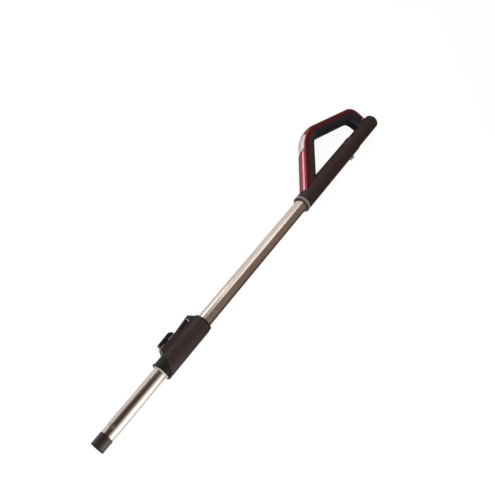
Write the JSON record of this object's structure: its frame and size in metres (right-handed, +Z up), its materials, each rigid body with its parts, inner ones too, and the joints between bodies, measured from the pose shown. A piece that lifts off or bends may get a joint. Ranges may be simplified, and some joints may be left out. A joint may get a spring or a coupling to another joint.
{
  "type": "telescopic vacuum wand",
  "caption": "Telescopic suction wand with steel tubes, a locking collar with a slide button, and a loop handle with a red gloss cover and a thumb switch.",
  "frame": {"origin": "centre of the tip's end face, on the axis of the tubes", "axes": "+X along the wand from the tip to the hose end, +Y towards the loop of the handle and the slide button, +Z up with the wand lying on its side"},
  "size_m": [1.186, 0.1571, 0.0492],
  "materials": {
    "champagne_steel": "drawn tube, satin polished, warm champagne tint",
    "brown_plastic": "espresso brown moulding with a fine grain",
    "slider_plastic": "espresso brown moulding, a little paler and smoother",
    "black_plastic": "black satin moulding",
    "grey_plastic": "mid grey satin moulding",
    "pale_plastic": "pale silver grey moulding",
    "red_gloss": "deep metallic red, clear coated",
    "soft_grip": "blue-black soft overmould",
    "seal_rubber": "plain black rubber",
    "spring_steel": "plain bright steel"
  },
  "bodies": {
    "wand": {"outer_tube": "champagne_steel", "mouth_bush": "pale_plastic", "collar_core": "black_plastic", "collar_cover": "brown_plastic", "button_spring": "spring_steel", "mouth_ring": "grey_plastic", "handle_body": "brown_plastic", "handle_back": "brown_plastic", "handle_screws": "spring_steel", "handle_cover": "red_gloss", "grip_pad": "soft_grip", "switch_block": "black_plastic", "release_spring": "spring_steel", "tube_seal": "seal_rubber", "socket_ring": "brown_plastic"},
    "inner_wand": {"tip_spigot": "brown_plastic", "tip_seal": "seal_rubber", "inner_tube": "champagne_steel", "guide_bush": "black_plastic"},
    "slide_button": {"slide_button": "black_plastic", "lock_roller": "spring_steel"},
    "thumb_switch": {"thumb_switch": "pale_plastic"},
    "suction_slider": {"suction_slider": "slider_plastic"},
    "tube_release": {"tube_release": "grey_plastic"}
  },
  "joints": [
    {"name": "telescope", "type": "slide", "parent": "wand", "child": "inner_wand", "axis": [-1, 0, 0], "range_m": [-0.15, 0.22]},
    {"name": "button_slide", "type": "slide", "parent": "wand", "child": "slide_button", "axis": [1, 0, 0], "range_m": [0, 0.008], "stiffness_N_per_m": 300, "springref_m": -0.004, "deforming": ["button_spring"]},
    {"name": "switch_slide", "type": "hinge", "parent": "wand", "child": "thumb_switch", "pos_m": [0.97404, 0.02322, 0], "axis": [0, 0, 1], "range_deg": [0, 2]},
    {"name": "suction_slide", "type": "slide", "parent": "wand", "child": "suction_slider", "axis": [1, 0, 0], "range_m": [0, 0.01]},
    {"name": "release_push", "type": "slide", "parent": "wand", "child": "tube_release", "axis": [0, 1, 0], "range_m": [0, 0.0025], "stiffness_N_per_m": 400, "springref_m": -0.001, "deforming": ["release_spring"]}
  ]
}
